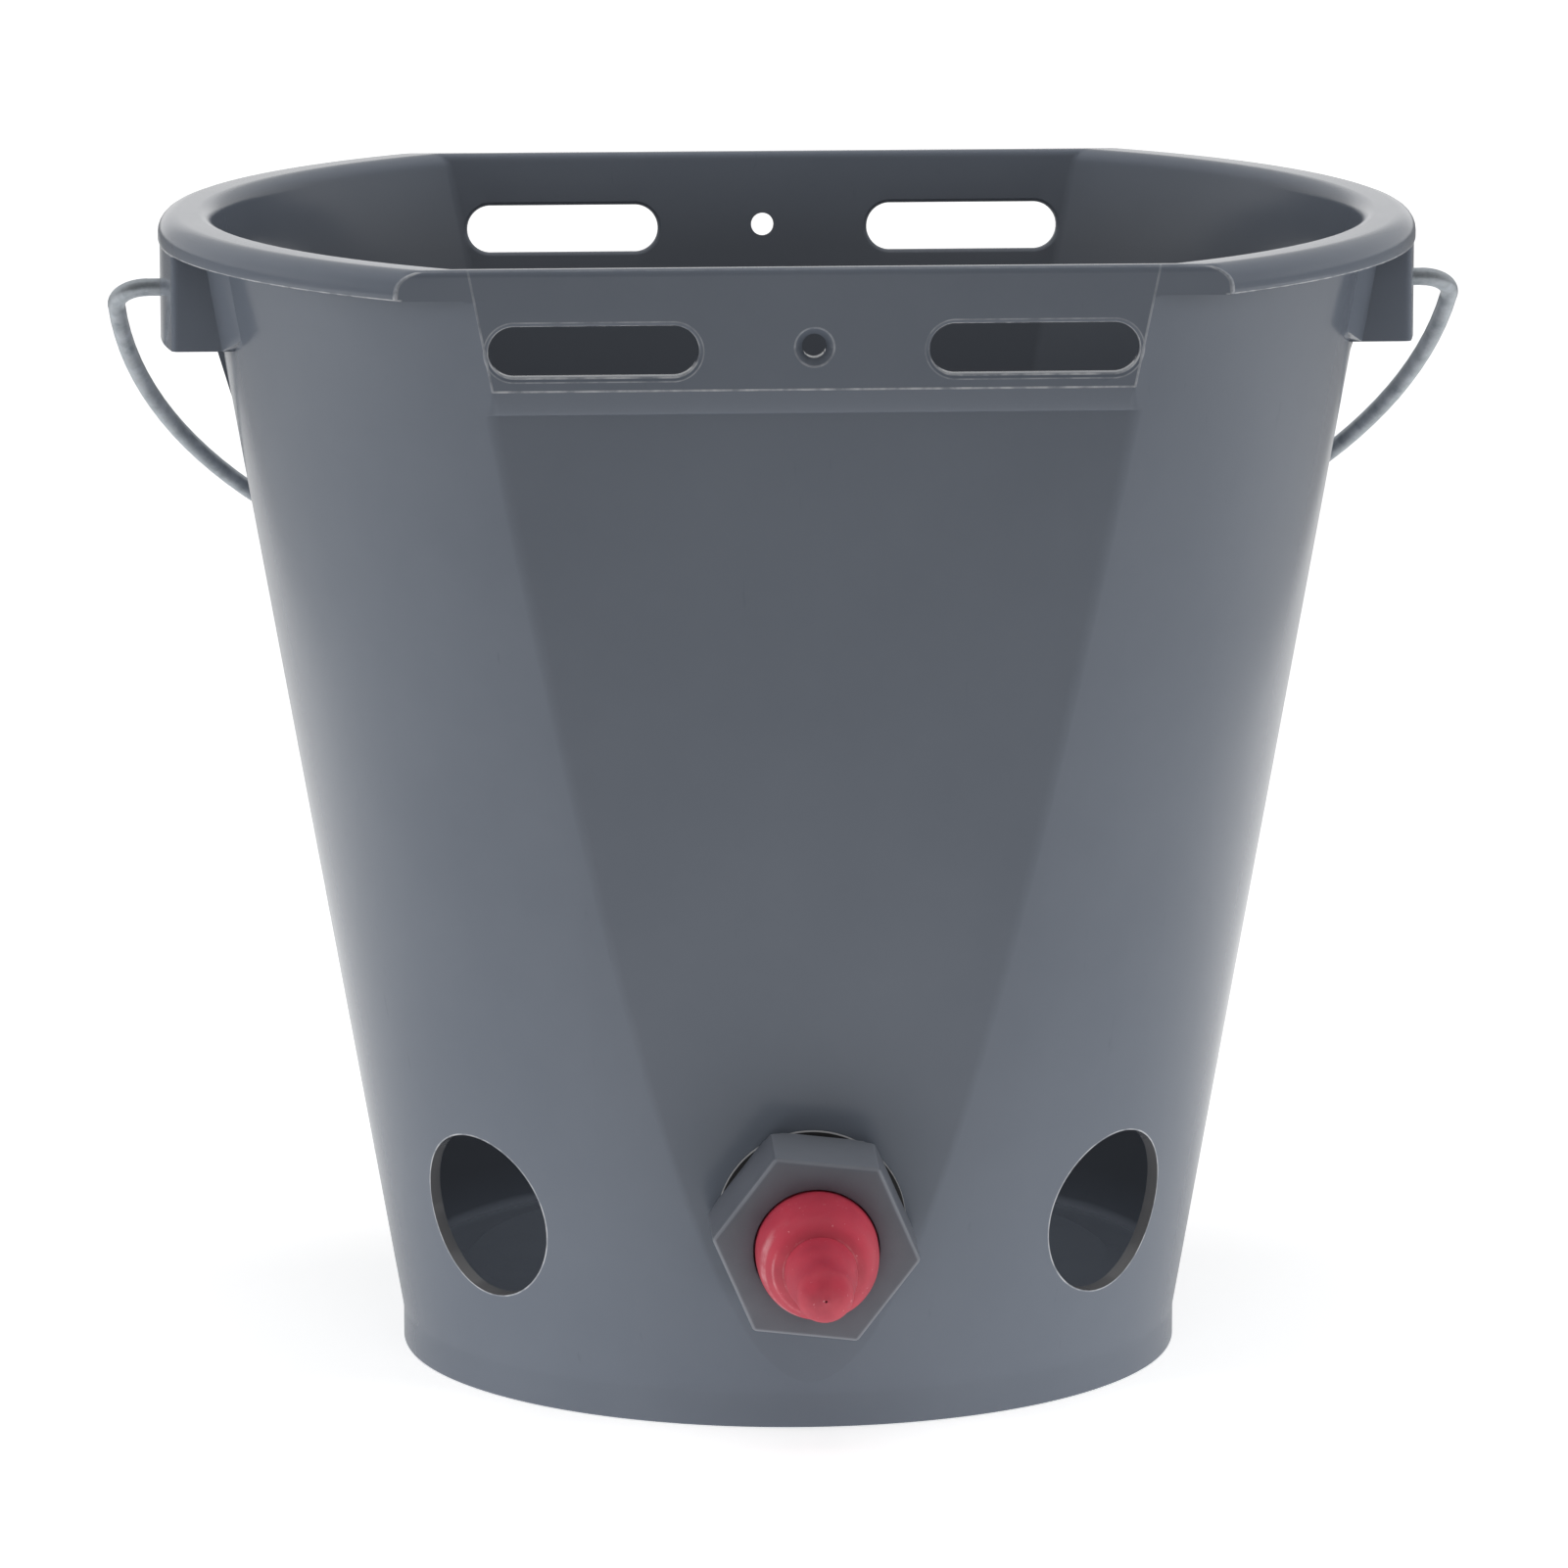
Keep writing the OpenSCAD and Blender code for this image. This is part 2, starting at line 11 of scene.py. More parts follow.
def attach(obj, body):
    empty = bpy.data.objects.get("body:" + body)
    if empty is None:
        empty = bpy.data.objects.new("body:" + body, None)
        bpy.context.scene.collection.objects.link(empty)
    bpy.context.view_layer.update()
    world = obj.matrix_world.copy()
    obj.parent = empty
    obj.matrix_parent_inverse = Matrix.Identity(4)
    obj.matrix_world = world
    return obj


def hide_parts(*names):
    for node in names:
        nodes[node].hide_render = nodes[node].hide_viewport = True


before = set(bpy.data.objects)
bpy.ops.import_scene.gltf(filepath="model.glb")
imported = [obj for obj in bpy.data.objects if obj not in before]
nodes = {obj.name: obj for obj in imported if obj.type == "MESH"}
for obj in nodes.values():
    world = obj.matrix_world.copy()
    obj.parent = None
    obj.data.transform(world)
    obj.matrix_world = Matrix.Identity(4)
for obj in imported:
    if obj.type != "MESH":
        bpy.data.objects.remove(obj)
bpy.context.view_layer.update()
scene = bpy.context.scene
scene.view_settings.view_transform = "Standard"


# Bucket shell
# One injection moulding in grey polypropylene: a cone with two flats that run out into the round
# foot, a stiffened panel at the top of each flat, a turned-down lip and a crowned floor.
mm = 0.001
rim_z = 295.0
rim_round = 4.0
foot_r = 100.0
foot_band = 9.0
foot_edge = 0.8
foot_bow = 0.25
inner_foot_edge = 1.0
inner_foot_bow = 0.3
band_swell = 0.04
wall_top_r = 150.0
wall_t = 3.2
wall_slope = (wall_top_r - foot_r) / (rim_z - foot_band)
wall_tilt = math.atan(wall_slope)
wall_level_t = wall_t / math.cos(wall_tilt)
flat_foot_z = 12.0
flat_inset = 26.7
panel_foot_z = 259.0
panel_z = 265.0
panel_proud = 1.0
panel_round = 1.4
lip_r = 160.0
lip_foot_z = 287.5
lip_round = 5.0
lip_edge = 0.8
lip_edge_in = 0.7
lip_bow = 0.2
floor_z = 19.0
floor_mid_z = 21.5
floor_corner = 2.0
crown_r = 82.5
crown_edge = 0.8
crown_drop = 0.14
outer_crease = 7.0
step_crease = 1.0
panel_crease = 0.6
rim_crease = 3.0
inner_crease = 4.0
arc_steps = 44
crease_steps = 8
line_steps = 16
round_steps = 7


def wall_r(z):
    return foot_r + wall_slope * (z - foot_band)


flat_slope = (wall_top_r - flat_inset - wall_r(flat_foot_z)) / (rim_z - flat_foot_z)
flat_tilt = math.atan(flat_slope)
flat_level_t = wall_t / math.cos(flat_tilt)


def flat_y(z):
    return wall_r(flat_foot_z) + flat_slope * (z - flat_foot_z)


def top_easing(z):
    """How far the rounded top edge of a flat draws back at a height."""
    rise = max(0.0, z - rim_z + panel_round) / panel_round
    return panel_round * (1.0 - math.sqrt(max(0.0, 1.0 - rise * rise)))


def outer_flat(z):
    """Distance of the outer face of a flat, with the proud panel and its rounded top edge."""
    if z <= panel_foot_z:
        return flat_y(z)
    if z < panel_z:
        below = (panel_z - z) / (panel_z - panel_foot_z)
        return flat_y(z) + panel_proud * math.sqrt(1.0 - below ** 2)
    return flat_y(z) + panel_proud - top_easing(z)


def inner_flat(z):
    """Distance of the inner face of a flat, flared at its rounded top edge."""
    return flat_y(z) - flat_level_t + top_easing(z)


def quarter(radius, flat, crease, corner_x=None):
    """A quarter of a level ring: round wall, the lip's cut corner, soft crease, then the flat."""
    least_inset = 1e-4
    largest_share = 0.9
    flat = min(flat, radius - least_inset)
    if corner_x is None:
        fit = min(crease, flat * largest_share)
        centre = (math.sqrt((radius - fit) ** 2 - (flat - fit) ** 2), flat - fit)
        turn = math.atan2(centre[1], centre[0])
    else:
        fit = 0.0
        centre = (corner_x, flat)
        turn = math.asin(flat / radius)
    points = []
    for i in range(arc_steps + 1):
        angle = turn * i / arc_steps
        points.append((radius * math.cos(angle), radius * math.sin(angle)))
    for i in range(crease_steps + 1):
        angle = turn + (math.pi / 2 - turn) * i / crease_steps
        points.append((centre[0] + fit * math.cos(angle), centre[1] + fit * math.sin(angle)))
    for i in range(1, line_steps + 1):
        points.append((centre[0] * (1.0 - i / line_steps), flat))
    return points


def quarter_turns(steps):
    """Angles from none to a right angle."""
    return [math.pi / 2 * i / steps for i in range(steps + 1)]


def whole_ring(points, z):
    """The full ring of a quarter, as places in metres."""
    loop = list(points)
    loop += [(-x, y) for x, y in points[-2::-1]]
    loop += [(-x, -y) for x, y in points[1:]]
    loop += [(x, -y) for x, y in points[-2:0:-1]]
    return [Vector((x * mm, y * mm, z * mm)) for x, y in loop]


run_out_z = flat_foot_z + 1.0
run_out = quarter(wall_r(run_out_z), flat_y(run_out_z), outer_crease)
round_angles = [math.atan2(y, x) for x, y in run_out]


def round_ring(radius, z):
    """A plain round ring with its points under those of the flats' run-out."""
    return whole_ring([(radius * math.cos(a), radius * math.sin(a)) for a in round_angles], z)


def wall_ring(z, crease):
    """A ring of the outer wall with its two flats."""
    return whole_ring(quarter(wall_r(z), outer_flat(z), crease), z)


def raise_rings(bm, rings):
    """Grows one closed skin through a row of rings and closes both its ends."""
    verts = bmesh.ops.create_circle(bm, cap_ends=False, segments=len(rings[0]), radius=1.0)["verts"]
    edges = list({edge for vert in verts for edge in vert.link_edges})
    first = list(edges)
    for vert, place in zip(verts, rings[0]):
        vert.co = place
    for ring in rings[1:]:
        grown = bmesh.ops.extrude_edge_only(bm, edges=edges)["geom"]
        fresh = {part for part in grown if isinstance(part, bmesh.types.BMVert)}
        edges = [part for part in grown if isinstance(part, bmesh.types.BMEdge)
                 and part.verts[0] in fresh and part.verts[1] in fresh]
        climbed = []
        for vert in verts:
            above = [edge.other_vert(vert) for edge in vert.link_edges if edge.other_vert(vert) in fresh]
            climbed.append(above[0])
        verts = climbed
        for vert, place in zip(verts, ring):
            vert.co = place
    bmesh.ops.contextual_create(bm, geom=first)
    bmesh.ops.contextual_create(bm, geom=edges)


merge_gap = 0.01 * mm


def mark_sharp(bm, turn):
    """Smooths every face and marks the edges that turn by more than an angle."""
    for face in bm.faces:
        face.smooth = True
    for edge in bm.edges:
        edge.smooth = edge.calc_face_angle(0.0) < math.radians(turn)


def made_piece(bm, name, sharp_turn=35.0):
    """Cleans a mesh, turns its faces outwards, marks its sharp edges and makes it an object."""
    bmesh.ops.remove_doubles(bm, verts=bm.verts, dist=merge_gap)
    bmesh.ops.dissolve_degenerate(bm, edges=bm.edges, dist=merge_gap / 2)
    bmesh.ops.recalc_face_normals(bm, faces=bm.faces)
    mark_sharp(bm, sharp_turn)
    mesh = bpy.data.meshes.new(name)
    bm.to_mesh(mesh)
    bm.free()
    piece = bpy.data.objects.new(name, mesh)
    scene.collection.objects.link(piece)
    return piece


# From the hollow under the floor, round the foot and up the outside; the levels lie closer together
# where the flats run out and where the panel steps out.
inner_foot_r = foot_r - wall_t
foot_path = [(crown_r, floor_mid_z - wall_t), (inner_foot_r, floor_z - wall_t),
             (inner_foot_r, inner_foot_edge), (inner_foot_r + inner_foot_bow, inner_foot_bow),
             (inner_foot_r + inner_foot_edge, 0.0), (foot_r - foot_edge, 0.0),
             (foot_r - foot_bow, foot_bow), (foot_r, foot_edge), (foot_r, foot_band / 2),
             (foot_r, foot_band - foot_edge), (foot_r + band_swell, foot_band)]
low_rises = (0.8, 1.6, 2.4, 3.1, 3.5, 4.0, 4.6, 5.3, 6.2, 7.3, 8.6, 10.2, 12.0, 14.2, 17.0, 20.5)
step_rises = (0.0, 0.06, 0.3, 0.8, 1.6, 2.7, 4.0, 5.2, 5.9)
panel_rises = (0.0, 0.4, 3.0, 7.0, 11.0, 15.0, 19.0, 21.5)
wall_levels = [foot_band + rise for rise in low_rises]
wall_levels += [foot_band + 25.0 + 5.0 * i for i in range(45)]
wall_levels += [panel_foot_z - 2.5, panel_foot_z - 0.6]
shell_rings = [round_ring(radius, z) for radius, z in foot_path]
for z in wall_levels:
    if z < flat_foot_z:
        shell_rings.append(round_ring(wall_r(z), z))
    else:
        shell_rings.append(wall_ring(z, outer_crease))
for rise in step_rises:
    share = rise / (panel_z - panel_foot_z)
    crease = outer_crease + (step_crease - outer_crease) * share
    shell_rings.append(wall_ring(panel_foot_z + rise, crease))
for rise in panel_rises:
    shell_rings.append(wall_ring(panel_z + rise, panel_crease))


def corner_at(z):
    """Where the panel's side edge passes up through the lip's cut face."""
    return math.sqrt(wall_r(z) ** 2 - outer_flat(z) ** 2)


# Out under the lip, round its edge and over the rim.
lip_path = [(wall_r(lip_foot_z), lip_foot_z), (lip_r - lip_edge_in, lip_foot_z),
            (lip_r - lip_bow, lip_foot_z + lip_bow), (lip_r, lip_foot_z + lip_edge),
            (lip_r, rim_z - lip_round)]
for angle in quarter_turns(round_steps)[1:]:
    lip_path.append((lip_r - lip_round + lip_round * math.cos(angle),
                     rim_z - lip_round + lip_round * math.sin(angle)))
for radius, z in lip_path:
    shell_rings.append(whole_ring(quarter(radius, outer_flat(z), 0.0, corner_at(z)), z))


def inner_r(z):
    return wall_r(z) - wall_level_t


# Down the inside to the crowned floor.
edge_r = inner_r(rim_z - rim_round)
for angle in quarter_turns(round_steps):
    z = rim_z - rim_round + rim_round * math.cos(angle)
    radius = edge_r + rim_round - rim_round * math.sin(angle)
    shell_rings.append(whole_ring(quarter(radius, inner_flat(z), rim_crease), z))
for z in [rim_z - 7.0 - 6.0 * i for i in range(45)]:
    shell_rings.append(whole_ring(quarter(inner_r(z), inner_flat(z), inner_crease), z))
for angle in quarter_turns(4):
    z = floor_z + floor_corner - floor_corner * math.sin(angle)
    drop = floor_corner * (1.0 - math.cos(angle))
    shell_rings.append(whole_ring(quarter(inner_r(z) - drop, inner_flat(z) - drop, inner_crease), z))
shell_rings.append(round_ring(crown_r + crown_edge, floor_mid_z - crown_drop))
shell_rings.append(round_ring(crown_r - crown_edge, floor_mid_z))

shell_mesh = bmesh.new()
raise_rings(shell_mesh, shell_rings)
bucket_shell = made_piece(shell_mesh, "bucket_shell")

# The lip is hollow from below: a channel under it, closed by a web where a flat cuts the lip.
lip_t = 2.6
channel_foot_r = 148.63
channel_top_r = 149.66
channel_round = 2.4
channel_bow = 0.7
channel_foot_z = lip_foot_z - 1.0
channel_top_z = rim_z - lip_t
channel_r = lip_r - lip_t
channel_path = [(channel_foot_r, channel_foot_z), (channel_top_r, channel_top_z),
                (channel_r - channel_round, channel_top_z),
                (channel_r - channel_bow, channel_top_z - channel_bow),
                (channel_r, channel_top_z - channel_round), (channel_r, channel_foot_z)]
web_y = outer_flat(rim_z - lip_round) - lip_t
channel_mesh = bmesh.new()
channel_verts = [channel_mesh.verts.new((x * mm, 0.0, z * mm)) for x, z in channel_path]
channel_face = channel_mesh.faces.new(channel_verts)
bmesh.ops.spin(channel_mesh, geom=channel_face.edges[:], cent=(0, 0, 0), axis=(0, 0, 1), dvec=(0, 0, 0),
               angle=2 * math.pi, steps=180, use_merge=True, use_duplicate=False)
bmesh.ops.delete(channel_mesh, geom=[channel_face], context="FACES_ONLY")
for side in (-1, 1):
    channel_parts = channel_mesh.verts[:] + channel_mesh.edges[:] + channel_mesh.faces[:]
    bmesh.ops.bisect_plane(channel_mesh, geom=channel_parts, dist=0.001 * mm,
                           plane_co=(0, side * web_y * mm, 0), plane_no=(0, side, 0), clear_outer=True)
bmesh.ops.holes_fill(channel_mesh, edges=[edge for edge in channel_mesh.edges if edge.is_boundary], sides=0)


def joined(piece, tool, operation):
    """Cuts one piece from another, or welds it on, and drops the tool."""
    modifier = piece.modifiers.new("work", "BOOLEAN")
    modifier.operation = operation
    modifier.solver = "EXACT"
    modifier.object = tool
    bpy.context.view_layer.objects.active = piece
    bpy.ops.object.modifier_apply(modifier=modifier.name)
    bpy.data.objects.remove(tool)


joined(bucket_shell, made_piece(channel_mesh, "lip_channel"), "DIFFERENCE")


# Handle lugs
# Two wide hollow lugs moulded under the lip carry the bail. Each has a round outer wall, two cheeks with
# a leaning fillet beside them, is open below, and runs out into a small rib on the wall.
lug_half = 33.0
lug_foot_z = 263.3
lug_top_z = rim_z - 2.0
lug_set = 0.4
lug_r = lip_r - lug_set
lug_t = 3.0
lug_levels = [(lug_foot_z, 0.0), (rim_z - lip_round - lug_set, 0.0), (lug_top_z, lip_t)]
lug_corner = 1.6
lug_steps = 24
flare_lap = 1.0
lap_rise = 0.3
root_rise = 0.02
flare_y = lug_half + 9.0
flare_reach = 3.2
flare_rise = 4.0
pivot_z = 275.5
rib_foot_z = 243.3
rib_top_z = lug_foot_z + lug_t
rib_reach = 2.0
rib_sink = 0.5
rib_half_t = 1.5


def in_wall(y, z):
    """Where a level line at this height lies in the middle of the round wall."""
    return math.sqrt((wall_r(z) - wall_t / 2) ** 2 - y * y)


def on_wall(y, z):
    """Where a level line at this height leaves the round wall."""
    return math.sqrt(wall_r(z) ** 2 - y * y)


def bowed(radius, half):
    """The round plan of a lug's wall, from one cheek to the other."""
    turn = math.asin(half / radius)
    angles = [turn * (2 * i / lug_steps - 1) for i in range(lug_steps + 1)]
    return [(radius * math.cos(a), radius * math.sin(a)) for a in angles]


def rounded(before, corner, after):
    """A plan corner eased to a small curve."""
    middle = Vector(corner)
    run_in = middle + (Vector(before) - middle).normalized() * lug_corner
    run_out = middle + (Vector(after) - middle).normalized() * lug_corner
    shares = [i / 5 for i in range(6)]
    return [tuple(run_in * (1 - t) ** 2 + middle * (2 * t * (1 - t)) + run_out * t * t) for t in shares]


inner_half = lug_half - lug_t
wall_x = in_wall(lug_half, lug_foot_z)
outer_plan = bowed(lug_r, lug_half)
outer_plan = (rounded((wall_x, -lug_half), outer_plan[0], outer_plan[1]) + outer_plan[1:-1]
              + rounded(outer_plan[-2], outer_plan[-1], (wall_x, lug_half)))
inner_plan = bowed(lug_r - lug_t, inner_half)[::-1]
lap_y = lug_half - flare_lap
reach_x = on_wall(lug_half, lug_foot_z) + flare_reach
fillet_plan = [(in_wall(lap_y, lug_foot_z), lap_y, lap_rise), (reach_x, lap_y, lap_rise),
               (reach_x, lug_half, root_rise), (on_wall(flare_y, lug_foot_z), flare_y, flare_rise),
               (in_wall(flare_y, lug_foot_z), flare_y, flare_rise)]
rib_x = wall_r(lug_foot_z) + rib_reach
rib = [(in_wall(0, rib_foot_z), rib_foot_z), (wall_r(rib_foot_z) - rib_sink, rib_foot_z),
       (rib_x, lug_foot_z), (rib_x, rib_top_z), (in_wall(0, rib_top_z), rib_top_z)]
lug_mesh = bmesh.new()
fillet_mesh = bmesh.new()
for side in (1, -1):
    lug_rings = []
    for z, draw_in in lug_levels:
        plan = [(in_wall(lug_half, z), -lug_half)] + [(x - draw_in, y) for x, y in outer_plan]
        plan += [(in_wall(lug_half, z), lug_half), (in_wall(inner_half, z), inner_half)]
        plan += [(x - draw_in, y) for x, y in inner_plan] + [(in_wall(inner_half, z), -inner_half)]
        lug_rings.append([Vector((side * x * mm, side * y * mm, z * mm)) for x, y in plan])
    raise_rings(lug_mesh, lug_rings)
    for cheek in (1, -1):
        fillet_rings = []
        for top in (False, True):
            ring = []
            for x, y, rise in fillet_plan:
                z = lug_top_z if top else lug_foot_z + rise
                lean = x + wall_slope * (z - lug_foot_z)
                ring.append(Vector((side * lean * mm, cheek * y * mm, z * mm)))
            fillet_rings.append(ring)
        raise_rings(fillet_mesh, fillet_rings)
    rib_rings = [[Vector((side * x * mm, y * mm, z * mm)) for x, z in rib] for y in (-rib_half_t, rib_half_t)]
    raise_rings(fillet_mesh, rib_rings)
bmesh.ops.triangulate(fillet_mesh, faces=fillet_mesh.faces[:])
joined(bucket_shell, made_piece(lug_mesh, "lug_cheeks"), "UNION")
joined(bucket_shell, made_piece(fillet_mesh, "lug_fillets"), "UNION")


# Openings in the bucket
# Two long hanging slots and a countersunk screw hole in each panel, three round holes for teat
# valves low on the front, and the small holes in the lugs that the bail's ends pass through.
slot_z = 274.6
slot_half = 107.0 / 2
slot_r = 6.25
slot_run = 51.0 / 2 - slot_r
slot_edge = 1.2
screw_z = 275.4
screw_r = 3.0
screw_sink_r = 4.8
sink_depth = 1.6
sink_flare = 0.5
sink_ease = 0.3
pivot_hole_r = 2.5
pivot_hole_x = 155.0
pivot_cut_out = 8.0
pivot_cut_in = 3.0
hole_r = 21.3
hole_cut = 9.0
hole_steps = 96
side_hole_z = 48.6
side_hole_turns = (-49.2, 46.2)
middle_hole_z = 54.2
over_cut = 2.0
face_gap = 0.1


def square_to(turn, reach, z, tilt):
    """A place on the wall: x along it, y up it, z straight out, turned about the bucket's axis."""
    up = math.cos(tilt)
    out = math.sin(tilt)
    lean = Matrix(((1, 0, 0), (0, -out, -up), (0, up, -out))).to_4x4()
    return Matrix.Rotation(turn, 4, "Z") @ Matrix.Translation((0, -reach, z)) @ lean


def hole_rings(place, path, run=0.0, shift=0.0, steps=48):
    """Rings about a place's axis: each step of the path gives a radius and a depth along it."""
    rings = []
    for radius, depth in path:
        ring = []
        for i in range(steps):
            angle = 2 * math.pi * (i + 0.5) / steps
            x = radius * math.cos(angle)
            x += shift + math.copysign(run, x)
            ring.append(place @ Vector((x, radius * math.sin(angle), depth)) * mm)
        rings.append(ring)
    return rings


panel_t = flat_level_t + panel_proud
slot_mouth_r = slot_r + slot_edge + face_gap
slot_path = [(slot_mouth_r, over_cut), (slot_mouth_r, face_gap)]
for angle in quarter_turns(6)[1:]:
    slot_path.append((slot_r + slot_edge * (1 - math.sin(angle)), slot_edge * (math.cos(angle) - 1)))
slot_path += [(radius, -panel_t - depth) for radius, depth in slot_path[::-1]]
screw_path = [(screw_sink_r + sink_flare, over_cut), (screw_sink_r + sink_flare, face_gap),
              (screw_sink_r, -face_gap), (screw_r + sink_ease, -sink_depth),
              (screw_r, -sink_depth - sink_ease), (screw_r, -panel_t - over_cut)]
pivot_path = [(pivot_hole_r, pivot_cut_out), (pivot_hole_r, -pivot_cut_in)]
hole_path = [(hole_r, hole_cut), (hole_r, -hole_cut)]
side_places = [square_to(math.radians(turn), wall_r(side_hole_z), side_hole_z, wall_tilt)
               for turn in side_hole_turns]
middle_place = square_to(0.0, flat_y(middle_hole_z), middle_hole_z, flat_tilt)
cut_mesh = bmesh.new()
for turn in (0.0, math.pi):
    slot_place = square_to(turn, flat_y(slot_z) + panel_proud, slot_z, flat_tilt)
    for side in (1, -1):
        raise_rings(cut_mesh, hole_rings(slot_place, slot_path, slot_run, side * slot_half))
    screw_place = square_to(turn, flat_y(screw_z) + panel_proud, screw_z, flat_tilt)
    raise_rings(cut_mesh, hole_rings(screw_place, screw_path))
    pivot_place = square_to(turn + math.pi / 2, pivot_hole_x, pivot_z, 0.0)
    raise_rings(cut_mesh, hole_rings(pivot_place, pivot_path))
for place in side_places + [middle_place]:
    raise_rings(cut_mesh, hole_rings(place, hole_path, steps=hole_steps))
joined(bucket_shell, made_piece(cut_mesh, "cutters"), "DIFFERENCE")


def creased(piece, turn):
    """Merges the seams left by the cuts, marks the sharp edges and evens the shading of the faces."""
    bm = bmesh.new()
    bm.from_mesh(piece.data)
    bmesh.ops.remove_doubles(bm, verts=bm.verts, dist=merge_gap)
    mark_sharp(bm, turn)
    bm.to_mesh(piece.data)
    bm.free()
    even = piece.modifiers.new("even_normals", "WEIGHTED_NORMAL")
    even.keep_sharp = True
    even.weight = 80


creased(bucket_shell, 30.0)

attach(bucket_shell, "bucket_body")
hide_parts("bucket")


def add(tree, kind, links=None, **values):
    """Adds a node, sets its properties and links its inputs."""
    made = tree.nodes.new(kind)
    for key, value in values.items():
        setattr(made, key, value)
    for key, source in (links or {}).items():
        if isinstance(source, bpy.types.NodeSocket):
            tree.links.new(source, made.inputs[key])
        else:
            made.inputs[key].default_value = source
    return made


def new_finish(name):
    """A node material, with its tree, its shader and the places on the object in metres."""
    finish = bpy.data.materials.new(name)
    finish.use_nodes = True
    tree = finish.node_tree
    return finish, tree, tree.nodes["Principled BSDF"], add(tree, "ShaderNodeTexCoord").outputs["Object"]


def noise(tree, place, scale, detail=4.0, rough=0.55):
    return add(tree, "ShaderNodeTexNoise", {"Vector": place, "Scale": scale, "Detail": detail,
                                            "Roughness": rough}).outputs[0]


def spread(tree, value, low, high, start=0.0, end=1.0):
    """Maps a value's range to another, held at both ends."""
    return add(tree, "ShaderNodeMapRange", {"Value": value, "From Min": low, "From Max": high,
                                            "To Min": start, "To Max": end}, clamp=True).outputs[0]


def fade(tree, value, low, high, start=0.0, end=1.0):
    """Maps a range of sizes in millimetres to another, held at both ends."""
    return spread(tree, value, low * mm, high * mm, start, end)


def tint(tree, share, below, above):
    """Mixes two colours, or sockets, by a share."""
    return add(tree, "ShaderNodeMix", {0: share, 6: below, 7: above}, data_type="RGBA").outputs[2]


def calc(tree, operation, *values):
    """One sum on sockets and numbers."""
    return add(tree, "ShaderNodeMath", dict(enumerate(values)), operation=operation).outputs[0]


def times(tree, product, *others):
    """The product of several shares."""
    for other in others:
        product = calc(tree, "MULTIPLY", product, other)
    return product


def most(tree, greatest, *others):
    """The greatest of several shares."""
    for other in others:
        greatest = calc(tree, "MAXIMUM", greatest, other)
    return greatest


def beyond(tree, value, size):
    """How far a value passes a size in millimetres."""
    return calc(tree, "SUBTRACT", value, size * mm)


def length_of(tree, *values):
    joined_up = add(tree, "ShaderNodeCombineXYZ", dict(enumerate(values))).outputs[0]
    return add(tree, "ShaderNodeVectorMath", {0: joined_up}, operation="LENGTH").outputs["Value"]


def between(tree, value, low, high, soft=0.1):
    """One between two sizes in millimetres, falling to none over a soft edge."""
    return times(tree, fade(tree, value, low - soft, low), fade(tree, value, high, high + soft, 1.0, 0.0))


def from_axis(tree, coords, place):
    """Distance from the axis of a hole and distance along it."""
    begin = place @ Vector((0, 0, 0)) * mm
    way = (place.to_3x3() @ Vector((0, 0, 1))).normalized()
    offset = add(tree, "ShaderNodeVectorMath", {0: coords, 1: begin}, operation="SUBTRACT").outputs[0]
    beside = add(tree, "ShaderNodeVectorMath", {0: offset, 1: way}, operation="CROSS_PRODUCT").outputs[0]
    beside = add(tree, "ShaderNodeVectorMath", {0: beside}, operation="LENGTH").outputs["Value"]
    along = add(tree, "ShaderNodeVectorMath", {0: offset, 1: way}, operation="DOT_PRODUCT").outputs["Value"]
    return beside, along


def surface(tree, shader, colour, rough, relief=None, strength=0.0, depth=0.4 * mm):
    """Gives the shader its colour and roughness, and a fine relief if there is one."""
    tree.links.new(colour, shader.inputs["Base Color"])
    tree.links.new(rough, shader.inputs["Roughness"])
    if relief is not None:
        bump = add(tree, "ShaderNodeBump", {"Height": relief, "Strength": strength, "Distance": depth})
        tree.links.new(bump.outputs[0], shader.inputs["Normal"])


# Grey polypropylene with a satin mould finish: faint clouds and fine scratches.
plastic, tree, shader, coords = new_finish("moulded_grey")
clouds = noise(tree, coords, 14.0, 5.0)
grain = noise(tree, coords, 1400.0, 3.0)
long_way = add(tree, "ShaderNodeMapping", {"Vector": coords, "Scale": (260.0, 260.0, 26.0),
                                           "Rotation": (0.3, 0.5, 0.2)}).outputs[0]
scratch = noise(tree, long_way, 1.0, 6.0, 0.7)
colour = tint(tree, spread(tree, clouds, 0.3, 0.7), (0.112, 0.128, 0.157, 1), (0.126, 0.143, 0.173, 1))
colour = tint(tree, spread(tree, scratch, 0.66, 0.74, 0.0, 0.35), colour, (0.080, 0.090, 0.108, 1))

# The teat holes are cut after moulding: their walls are duller, and their rims show a pale line, a burr with
# a painted edge highlight on it.
rims = []
for place in side_places:
    beside, along = from_axis(tree, coords, place)
    own_side = fade(tree, along, -hole_cut, 1.0 - hole_cut)
    cut_wall = times(tree, between(tree, beside, 0.0, hole_r + 0.03, 0.03), own_side)
    colour = tint(tree, cut_wall, colour, (0.104, 0.104, 0.108, 1))
    rims.append(times(tree, between(tree, beside, hole_r + 0.06, hole_r + 0.35, 0.05), own_side))
